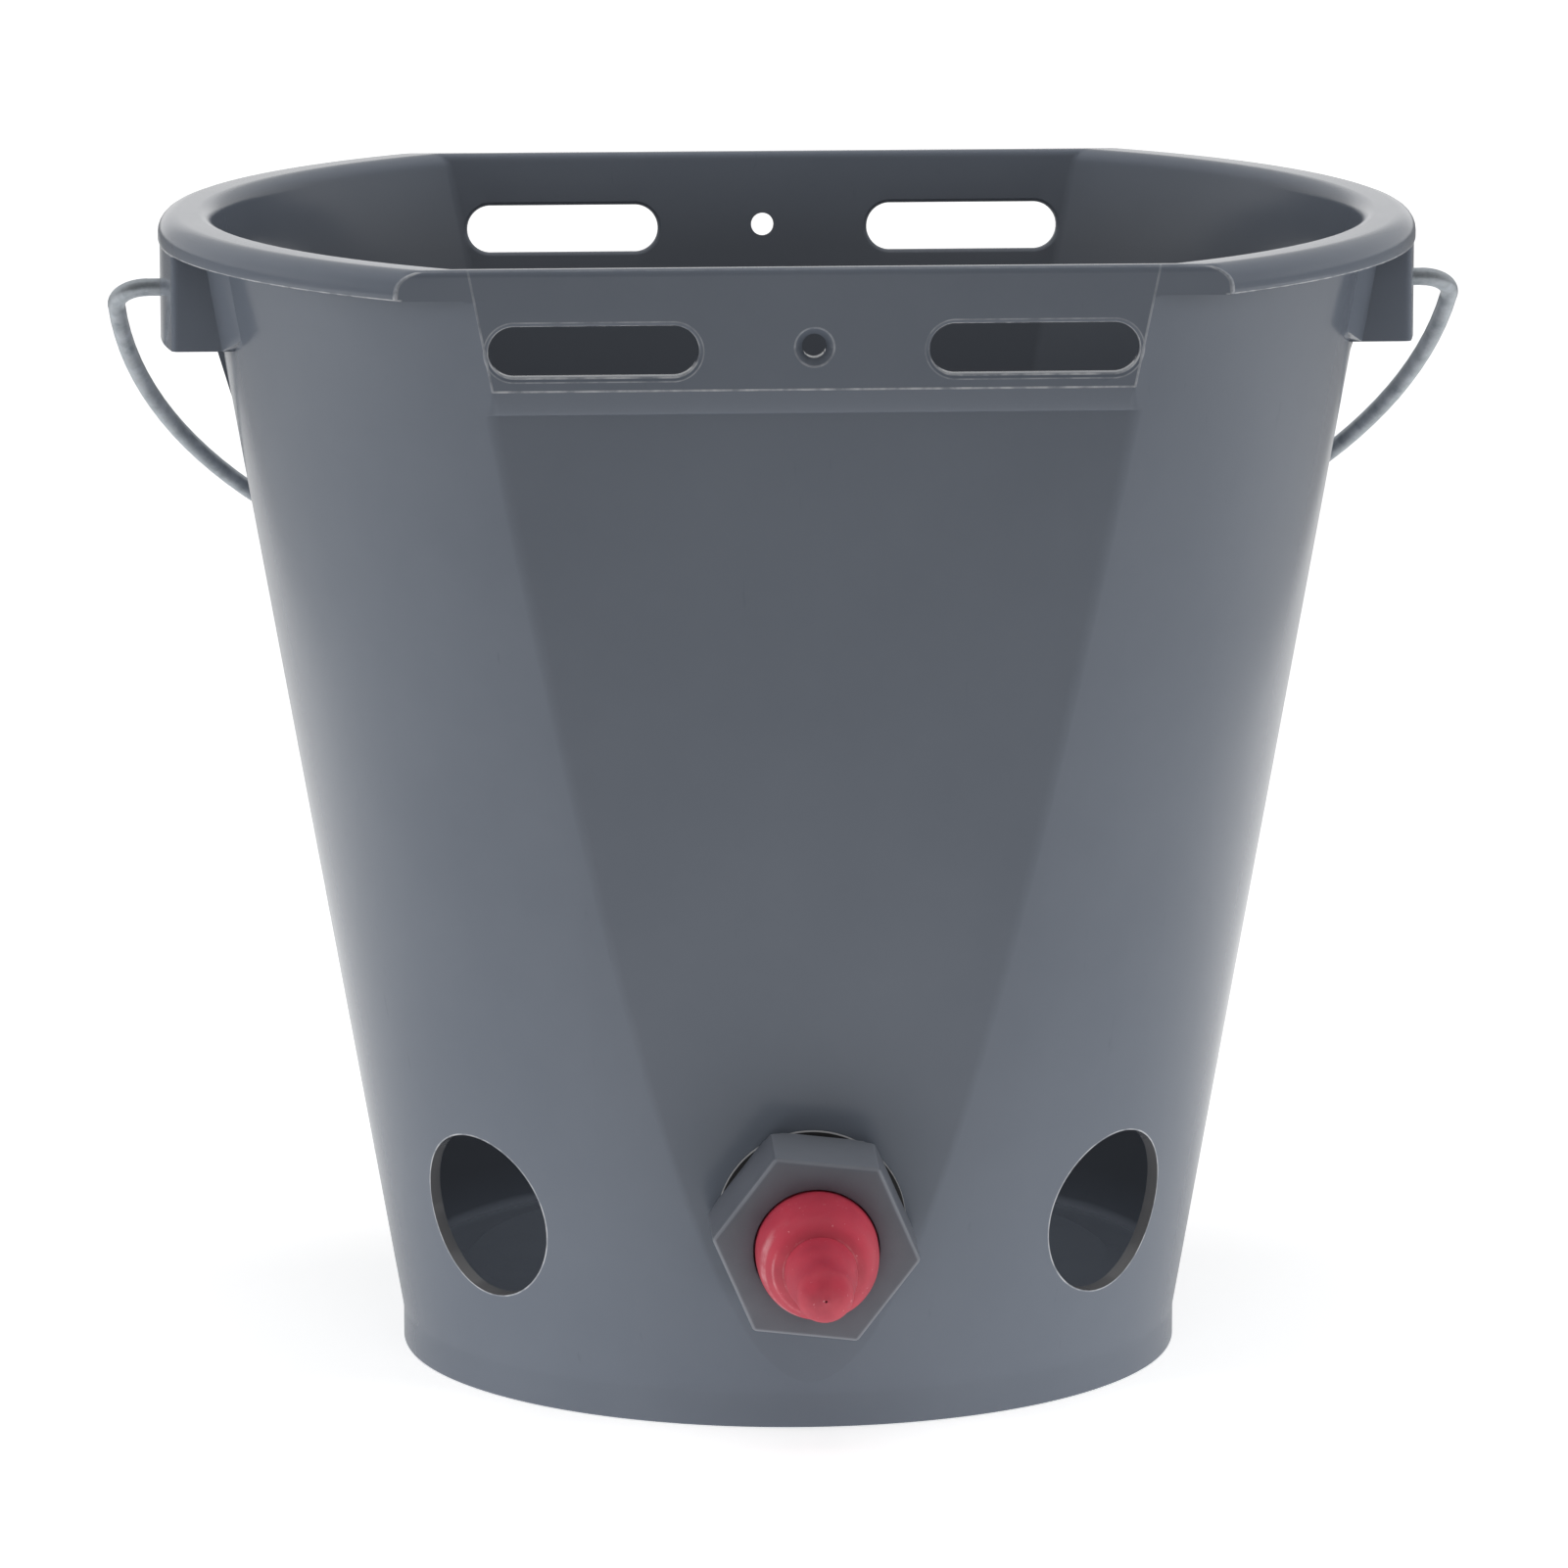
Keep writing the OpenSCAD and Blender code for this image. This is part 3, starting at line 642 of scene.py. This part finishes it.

# Painted shade: the inside is tinted darker and less blue than the outside, from under the mouth down to the
# floor.
spot = add(tree, "ShaderNodeSeparateXYZ", {0: coords}).outputs
height = spot["Z"]
side_x = calc(tree, "ABSOLUTE", spot["X"])
side_y = calc(tree, "ABSOLUTE", spot["Y"])
level_r = length_of(tree, side_x, side_y)
upright_r = calc(tree, "MULTIPLY_ADD", height, -wall_slope, level_r)
upright_y = calc(tree, "MULTIPLY_ADD", height, -flat_slope, side_y)
skin_in = 3.1
skin_out = 1.2
painted_inside_shade = times(tree, fade(tree, upright_r, wall_r(0.0) - skin_in, wall_r(0.0) - skin_out, 0.5, 0.0),
               fade(tree, upright_y, flat_y(0.0) - skin_in, flat_y(0.0) - skin_out, 1.0, 0.0),
               fade(tree, height, rim_z - 25.0, rim_z - 3.0, 1.0, 0.0),
               fade(tree, height, floor_z + 3.0, floor_z + 11.0, 0.3, 1.0))
colour = tint(tree, painted_inside_shade, colour, (0.085, 0.088, 0.097, 1))

# Pale lines: mould flash along the panels' edges, the lip's cut ends and its parting line, and painted edge
# highlights along the lip's lower edge and round the slots and screw holes.
face_y = flat_y(0.0) + panel_proud
panel_x = corner_at(panel_z)
on_face = fade(tree, upright_y, face_y - 1.5, face_y - 1.2)
# Painted light: the rounded step under each panel's face is tinted paler, as if lit from the floor below.
painted_step_light = times(tree, between(tree, height, panel_foot_z + 0.4, panel_z - 0.3, 0.4),
                   fade(tree, side_x, panel_x - 1.0, panel_x, 0.6, 0.0))
colour = tint(tree, times(tree, painted_step_light, on_face), colour, (0.150, 0.170, 0.205, 1))
parting = times(tree, between(tree, side_y, 0.0, 0.2, 0.15),
                fade(tree, height, rim_z - 5.0, rim_z - 3.0, 0.0, 0.35))
lip_foot = times(tree, between(tree, height, lip_foot_z - 0.2, lip_foot_z + 0.4),
                 fade(tree, level_r, lip_r - 1.2, lip_r - 0.8))
lip_out = most(tree, beyond(tree, level_r, lip_r - lip_round), 0.0)
lip_up = most(tree, beyond(tree, height, rim_z - lip_round), 0.0)
lip_end = times(tree, fade(tree, length_of(tree, lip_out, lip_up), lip_round - 0.5, lip_round - 0.3),
                between(tree, upright_y, face_y - 0.45, face_y + 0.3))
side_lean = (corner_at(lip_foot_z) - panel_x) / (lip_foot_z - panel_z)
side_edge = panel_x - side_lean * panel_z
upright_x = calc(tree, "MULTIPLY_ADD", height, -side_lean, side_x)
panel_side = times(tree, between(tree, upright_x, side_edge - 0.35, side_edge + 0.15),
                   fade(tree, height, panel_z, rim_z, 0.7, 0.25), fade(tree, height, panel_z - 0.3, panel_z))
panel_foot = times(tree, between(tree, height, panel_z - 0.2, panel_z + 0.2),
                   fade(tree, side_x, panel_x - 0.2, panel_x, 1.0, 0.0))
slot_x = calc(tree, "ABSOLUTE", beyond(tree, side_x, slot_half))
slot_end = most(tree, beyond(tree, slot_x, slot_run), 0.0)
slot_off = length_of(tree, slot_end, beyond(tree, height, slot_z))
slot_rim = most(tree, between(tree, slot_off, slot_r, slot_r + 0.3),
                times(tree, between(tree, slot_off, slot_r + 1.0, slot_r + 1.25), 0.5))
screw_off = length_of(tree, side_x, beyond(tree, height, screw_z))
screw_rim = times(tree, between(tree, screw_off, screw_sink_r - 0.2, screw_sink_r + 0.2), 0.6)
face_lines = times(tree, most(tree, panel_side, panel_foot, slot_rim, screw_rim), on_face)
flash_and_edge_highlights = most(tree, face_lines, lip_foot, lip_end, parting, *rims)
broken = spread(tree, noise(tree, coords, 230.0, 3.0), 0.36, 0.62, 0.2, 0.9)
colour = tint(tree, times(tree, flash_and_edge_highlights, broken), colour, (0.44, 0.45, 0.47, 1))
surface(tree, shader, colour, spread(tree, clouds, 0.3, 0.7, 0.13, 0.19), grain, 0.03)
shader.inputs["Specular IOR Level"].default_value = 0.4
bucket_shell.data.materials.clear()
bucket_shell.data.materials.append(plastic)


# Bail
# A galvanised steel wire, bent to two arms and a hand-hold, with hooked ends that turn in the lugs.
zinc, tree, shader, coords = new_finish("galvanised_wire")
spangle = add(tree, "ShaderNodeTexVoronoi", {"Vector": coords, "Scale": 420.0}).outputs["Color"]
mottle = noise(tree, coords, 160.0, 5.0, 0.65)
colour = tint(tree, spread(tree, mottle, 0.35, 0.65), (0.30, 0.335, 0.37, 1), (0.58, 0.62, 0.66, 1))
colour = tint(tree, spread(tree, spangle, 0.2, 0.8, 0.0, 0.4), colour, (0.50, 0.53, 0.55, 1))
surface(tree, shader, colour, spread(tree, mottle, 0.3, 0.7, 0.28, 0.55), mottle, 0.15, 0.3 * mm)
shader.inputs["Metallic"].default_value = 0.85
for slot in nodes["bail_handle"].material_slots:
    slot.material = zinc


# Grommet
# A black rubber lining of the middle hole, with a flange on each side of the wall that seals it.
seal_t = 2.0
seal_edge = 0.6
seal_bow = 0.2
seal_lift = 0.5
seal_bore = 16.6
seal_face_r = 20.0
seal_out_r = 23.55
seal_in_r = 23.8
seal_in_edge = 0.4
seal_back = -wall_t - seal_t
lining_r = hole_r - face_gap
lining_gap = 0.02


def raise_round(bm, rings):
    """Grows a skin through rings whose last one closes on the first."""
    raise_rings(bm, rings + rings[:1])
    caps = [face for face in bm.faces if len(face.verts) == len(rings[0])]
    bmesh.ops.delete(bm, geom=caps, context="FACES_ONLY")


grommet_path = [(seal_bore, seal_back), (seal_bore, 0.0), (seal_bore, seal_t), (seal_face_r, seal_t),
                (seal_out_r - seal_edge, seal_t), (seal_out_r - seal_bow, seal_t - seal_bow),
                (seal_out_r, seal_t - seal_edge), (seal_out_r, seal_lift),
                (seal_out_r - seal_bow, face_gap), (seal_out_r - seal_lift, lining_gap),
                (lining_r, lining_gap), (lining_r, -wall_t),
                (seal_in_r - seal_in_edge, -wall_t), (seal_in_r, -wall_t - seal_in_edge),
                (seal_in_r, seal_back + seal_in_edge), (seal_in_r - seal_in_edge, seal_back)]
grommet_mesh = bmesh.new()
raise_round(grommet_mesh, hole_rings(middle_place, grommet_path, steps=hole_steps))
grommet_ring = made_piece(grommet_mesh, "grommet_ring")
rubber, tree, shader, coords = new_finish("black_rubber")
dust = noise(tree, coords, 220.0, 5.0, 0.6)
colour = tint(tree, spread(tree, dust, 0.45, 0.75), (0.004, 0.004, 0.005, 1), (0.012, 0.012, 0.013, 1))
beside = from_axis(tree, coords, middle_place)[0]
# Painted highlight: a thin pale ring at the flange's outer edge.
painted_rim_highlight = fade(tree, beside, seal_out_r - 0.15, seal_out_r - 0.05, 0.0, 0.8)
colour = tint(tree, painted_rim_highlight, colour, (0.42, 0.42, 0.43, 1))
surface(tree, shader, colour, spread(tree, dust, 0.3, 0.7, 0.45, 0.65))
grommet_ring.data.materials.append(rubber)
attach(grommet_ring, "bucket_body")
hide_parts("grommet")


# Valve body, ball and retainer
# A flanged, threaded tube passes through the grommet; a white ball and its three-armed spider inside
# it let milk out towards the teat only.
tube_grey, tree, shader, coords = new_finish("valve_grey")
clouds = noise(tree, coords, 90.0)
colour = tint(tree, clouds, (0.10, 0.105, 0.118, 1), (0.15, 0.155, 0.17, 1))
surface(tree, shader, colour, spread(tree, clouds, 0.3, 0.7, 0.35, 0.5))
white, tree, shader, coords = new_finish("white_plastic")
clouds = noise(tree, coords, 140.0)
colour = tint(tree, clouds, (0.70, 0.70, 0.66, 1), (0.82, 0.82, 0.79, 1))
surface(tree, shader, colour, spread(tree, clouds, 0.3, 0.7, 0.3, 0.42))
for name, finish in (("valve_body", tube_grey), ("valve_ball", white), ("ball_retainer", white)):
    for slot in nodes[name].material_slots:
        slot.material = finish


# Cap nut
# A hexagonal nut in grey plastic, screwed on the tube, which traps the teat's flange. Its front edges
# are rounded and its rear corners are turned off.
nut_back = 2.0
nut_front = 24.5
nut_af = 45.0
nut_turn = math.radians(-6.7)
nut_edge = 1.3
least_corner = 0.25
front_corner = 0.3
front_inset = 1.6
rear_face_r = 19.5
rear_cut = 1.6
rear_slope = 0.9
mouth_r = 15.5
mouth_flare = 0.6
mouth_edge = 0.7
mouth_bow = 0.2
thread_r = 16.75
seat_depth = 20.0
side_steps = 12
corner_steps = 5
sixth = math.radians(60.0)


def toward(angle):
    return Vector((math.cos(angle), math.sin(angle)))


def hex_plan(af, corner):
    """A hexagon with rounded corners."""
    points = []
    hub_reach = (af / 2 - corner) / math.cos(sixth / 2)
    for k in range(6):
        middle = nut_turn + sixth * k
        for i in range(corner_steps + 1):
            turn = sixth * (i / corner_steps - 0.5)
            points.append(toward(middle) * hub_reach + toward(middle + turn) * corner)
        start = points[-1]
        end = toward(middle + sixth) * hub_reach + toward(middle + sixth / 2) * corner
        points += [start.lerp(end, i / side_steps) for i in range(1, side_steps)]
    return points


def hex_ring(af, corner, depth, limit=math.inf):
    """A level hexagon, kept inside a turned limit."""
    held = [point * min(1.0, limit / point.length) for point in hex_plan(af, corner)]
    return [middle_place @ Vector((point.x, point.y, depth)) * mm for point in held]


hex_angles = [math.atan2(point.y, point.x) for point in hex_plan(nut_af, nut_edge)]


def bore_ring(radius, depth):
    plan = [toward(angle) * radius for angle in hex_angles]
    return [middle_place @ Vector((point.x, point.y, depth)) * mm for point in plan]


corner_r = nut_af / 2 / math.cos(sixth / 2)
nut_rings = [bore_ring(thread_r, nut_back), bore_ring(rear_face_r, nut_back)]
for rise in (0.0, 0.4, 0.8, 1.2, 1.8, 2.4):
    nut_rings.append(hex_ring(nut_af, nut_edge, nut_back + rise, corner_r - rear_cut + rear_slope * rise))
nut_rings.append(hex_ring(nut_af, nut_edge, (nut_back + nut_front) / 2))
for angle in quarter_turns(6):
    drawn_in = nut_edge * (1 - math.cos(angle))
    nut_rings.append(hex_ring(nut_af - 2 * drawn_in, nut_edge * math.cos(angle) + least_corner,
                              nut_front - nut_edge * (1 - math.sin(angle))))
nut_rings.append(hex_ring(nut_af - 2 * nut_edge - front_inset, front_corner, nut_front))
mouth_path = [(mouth_r + mouth_flare, nut_front), (mouth_r + mouth_flare / 4, nut_front - mouth_bow),
              (mouth_r, nut_front - mouth_edge), (mouth_r, seat_depth), (thread_r, seat_depth)]
nut_rings += [bore_ring(radius, depth) for radius, depth in mouth_path]
nut_mesh = bmesh.new()
raise_round(nut_mesh, nut_rings)

# Painted highlight: the front edges are tinted pale. Painted top light: the flank that faces up is tinted
# paler.
edge_highlight_layer = nut_mesh.verts.layers.float.new("painted_edge_highlight")
top_light_layer = nut_mesh.verts.layers.float.new("painted_top_light")
edge_highlight_width = 0.8
top_light_skin = 0.15
to_nut = middle_place.inverted()
to_sky = to_nut.to_3x3() @ Vector((0, 0, 1))
flank_ways = [toward(nut_turn + sixth * (k + 0.5)).to_3d() for k in range(6)]
top_way = max(flank_ways, key=to_sky.dot)
for vert in nut_mesh.verts:
    local = to_nut @ (vert.co / mm)
    reach = max(local.dot(way) for way in flank_ways)
    if reach > nut_af / 2 - edge_highlight_width and local.z > nut_front - edge_highlight_width:
        vert[edge_highlight_layer] = 1.0
    if local.dot(top_way) > nut_af / 2 - top_light_skin:
        vert[top_light_layer] = 1.0
cap_nut = made_piece(nut_mesh, "cap_nut", 40.0)
nut_plastic, tree, shader, coords = new_finish("nut_plastic")
clouds = noise(tree, coords, 70.0, 5.0)
grain = noise(tree, coords, 1600.0, 3.0)
colour = tint(tree, spread(tree, clouds, 0.3, 0.7), (0.084, 0.091, 0.109, 1), (0.104, 0.112, 0.132, 1))
# Painted top light: the flank that faces up is tinted paler.
top_light = add(tree, "ShaderNodeAttribute", attribute_name="painted_top_light").outputs["Fac"]
colour = tint(tree, times(tree, top_light, 0.9), colour, (0.175, 0.188, 0.215, 1))
# Painted highlight: the rounded front edges are tinted pale.
edge_highlight = add(tree, "ShaderNodeAttribute", attribute_name="painted_edge_highlight").outputs["Fac"]
colour = tint(tree, times(tree, edge_highlight, 0.5), colour, (0.215, 0.225, 0.25, 1))
surface(tree, shader, colour, spread(tree, clouds, 0.3, 0.7, 0.42, 0.52), grain, 0.08)
cap_nut.data.materials.append(nut_plastic)
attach(cap_nut, "bucket_body")
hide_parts("hex_nut")


# Teat
# A soft red rubber teat: a flange inside the nut, a bulb at its mouth and a nipple with a milk hole.
teat_len = 40.0
teat_t = 2.6
teat_end = nut_front + teat_len
bulb_r = 15.2
neck_r = 8.9
tip_r = 7.1
bulb_end = 0.42
neck_end = 0.48
tip_start = 0.84
milk_r = 0.3
milk_dip = 0.12
flange_bore = thread_r - 2.5
flange_r = thread_r - 0.35
flange_back = 17.0
flange_front = seat_depth - 0.05
bulb_root = nut_front - 1.0
least_bore = 2.0
skin_steps = 64
bore_steps = 24


def eased(t):
    return t * t * (3 - 2 * t)


def teat_r(t):
    """Outside radius of the teat at a share of its length beyond the nut."""
    if t < bulb_end:
        return neck_r + (bulb_r - neck_r) * math.sqrt(max(0.0, 1 - (t / bulb_end) ** 3))
    if t < neck_end:
        return neck_r
    if t < tip_start:
        return neck_r + (tip_r - neck_r) * eased((t - neck_end) / (tip_start - neck_end))
    return tip_r * math.sqrt(max(0.0, 1 - ((t - tip_start) / (1 - tip_start)) ** 2))


teat_path = [(flange_bore, flange_back), (flange_r, flange_back), (flange_r, flange_front),
             (bulb_r, flange_front), (bulb_r, bulb_root)]
for i in range(skin_steps):
    teat_path.append((teat_r(i / skin_steps), nut_front + teat_len * i / skin_steps))
teat_path += [(milk_r, teat_end - milk_dip), (milk_r, teat_end - teat_t)]
for i in range(bore_steps - 1, -1, -1):
    teat_path.append((max(least_bore, teat_r(i / bore_steps) - teat_t),
                      nut_front + (teat_len - teat_t) * i / bore_steps))
teat_mesh = bmesh.new()
raise_round(teat_mesh, hole_rings(middle_place, teat_path, steps=80))
rubber_teat = made_piece(teat_mesh, "rubber_teat", 50.0)

# The rubber has painted top light, a paler tint towards the top, and has a few specks, and arcs of scuffs low
# on the left of the bulb.
red, tree, shader, coords = new_finish("red_rubber")
bloom = noise(tree, coords, 190.0, 5.0, 0.6)
speck = noise(tree, coords, 900.0, 2.0)
colour = tint(tree, spread(tree, bloom, 0.35, 0.7), (0.34, 0.025, 0.047, 1), (0.42, 0.040, 0.064, 1))
height = add(tree, "ShaderNodeSeparateXYZ", {0: coords}).outputs["Z"]
# Painted top light: the upper part of the teat is tinted paler.
colour = tint(tree, fade(tree, height, 46.0, 66.0, 0.0, 0.5), colour, (0.54, 0.050, 0.085, 1))
beside = from_axis(tree, coords, middle_place)[0]
low_left = (middle_place.to_3x3() @ Vector((-0.85, -0.5, 0))).normalized()
leftward = add(tree, "ShaderNodeVectorMath", {0: coords, 1: low_left},
               operation="DOT_PRODUCT").outputs["Value"]
middle_at = low_left.dot(middle_place.translation)
arcs = most(tree, between(tree, beside, 11.6, 11.8, 0.3), between(tree, beside, 13.6, 14.2, 0.4))
arcs = times(tree, arcs, fade(tree, leftward, middle_at, middle_at + 9.0))
neck_line = times(tree, between(tree, beside, neck_r + 0.2, neck_r + 0.4, 0.2), 0.6)
patchy = spread(tree, noise(tree, coords, 130.0, 4.0, 0.7), 0.42, 0.62, 0.0, 0.42)
scuffs = times(tree, most(tree, arcs, neck_line), patchy)
dust = most(tree, scuffs, spread(tree, speck, 0.70, 0.76, 0.0, 0.6))
colour = tint(tree, dust, colour, (0.66, 0.36, 0.38, 1))
surface(tree, shader, colour, spread(tree, bloom, 0.3, 0.7, 0.40, 0.58), speck, 0.10)
shader.inputs["Subsurface Weight"].default_value = 0.12
shader.inputs["Subsurface Radius"].default_value = (0.004, 0.0012, 0.001)
shader.inputs["Subsurface Scale"].default_value = 0.4
rubber_teat.data.materials.append(red)
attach(rubber_teat, "bucket_body")
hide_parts("teat")


# Studio
# A pale floor that glows round the object, soft panels beside, above and before it, and the camera at the
# photograph's place. The room is dim on the camera's side, so the gloss mirrors white only at the edges.
floor_glow = 1.15
room_fill = 0.15
side_power = 8.6
top_power = 12.0
front_power = 4.2
floor_mesh = bmesh.new()
bmesh.ops.create_grid(floor_mesh, x_segments=2, y_segments=2, size=8.0)
floor = made_piece(floor_mesh, "floor")


def lit_for(tree, seen, mirrored, fill):
    """Light for rays straight from the camera, for rays off a gloss, and to fill matt surfaces."""
    path = add(tree, "ShaderNodeLightPath").outputs
    glossy = most(tree, path["Is Glossy Ray"], path["Is Transmission Ray"])
    light = calc(tree, "MULTIPLY_ADD", glossy, mirrored, times(tree, path["Is Camera Ray"], seen))
    return calc(tree, "MULTIPLY_ADD", path["Is Diffuse Ray"], fill, light)


pale, tree, shader, coords = new_finish("pale_floor")
shader.inputs["Base Color"].default_value = (0.80, 0.80, 0.80, 1)
shader.inputs["Roughness"].default_value = 0.9
shader.inputs["Specular IOR Level"].default_value = 0.1
away = add(tree, "ShaderNodeVectorMath", {0: coords}, operation="LENGTH").outputs["Value"]
sides = add(tree, "ShaderNodeSeparateXYZ", {0: coords}).outputs
aside = calc(tree, "ABSOLUTE", sides["X"])
strip = times(tree, spread(tree, sides["Y"], -0.1, 0.4, 0.05, 0.46),
              spread(tree, aside, 0.51, 0.60, 1.0, 0.1))
seen = spread(tree, away, 0.3, 1.8, 0.6, 1.0)
glow = lit_for(tree, seen, strip, spread(tree, away, 0.2, 0.6, floor_glow, 0.0))
shader.inputs["Emission Color"].default_value = (1, 1, 1, 1)
tree.links.new(glow, shader.inputs["Emission Strength"])
floor.data.materials.append(pale)

world = bpy.data.worlds.new("backdrop")
scene.world = world
world.use_nodes = True
tree = world.node_tree
backdrop = tree.nodes["Background"]
ways = add(tree, "ShaderNodeTexCoord").outputs["Generated"]
facing = add(tree, "ShaderNodeSeparateXYZ", {0: ways}).outputs["Y"]
mirrored = most(tree, spread(tree, facing, -0.5, 0.3, 0.15, 0.68), spread(tree, facing, 0.8, 0.97))
tree.links.new(lit_for(tree, 1.0, mirrored, room_fill), backdrop.inputs["Strength"])
backdrop.inputs["Color"].default_value = (1, 1, 1, 1)


def soft_light(name, place, aim, width, height, power):
    """A large soft panel light that faces a point and leaves no hot patch in the gloss."""
    lamp = bpy.data.lights.new(name, "AREA")
    lamp.shape = "RECTANGLE"
    lamp.size = width
    lamp.size_y = height
    lamp.energy = power
    made = bpy.data.objects.new(name, lamp)
    scene.collection.objects.link(made)
    made.location = place
    made.rotation_euler = (Vector(aim) - Vector(place)).to_track_quat("-Z", "Y").to_euler()
    made.visible_glossy = False
    made.visible_camera = False


for side in (-1, 1):
    soft_light("side_panel", (side * 1.4, 0.0, 0.33), (0, 0, 0.2), 0.8, 0.64, side_power)
soft_light("top_panel", (0, -0.15, 1.4), (0, 0, 0), 1.7, 0.7, top_power)
soft_light("front_panel", (0, -1.6, 0.8), (0, 0, 0.15), 1.4, 1.0, front_power)

camera_data = bpy.data.cameras.new("camera")
camera_data.sensor_fit = "HORIZONTAL"
camera_data.angle = math.radians(9.82)
camera_data.clip_end = 50.0
camera = bpy.data.objects.new("camera", camera_data)
scene.collection.objects.link(camera)
camera.location = (-0.1273, -2.3096, 0.5756)
camera.rotation_euler = (math.radians(79.458), math.radians(0.08), math.radians(-3.148))
scene.camera = camera
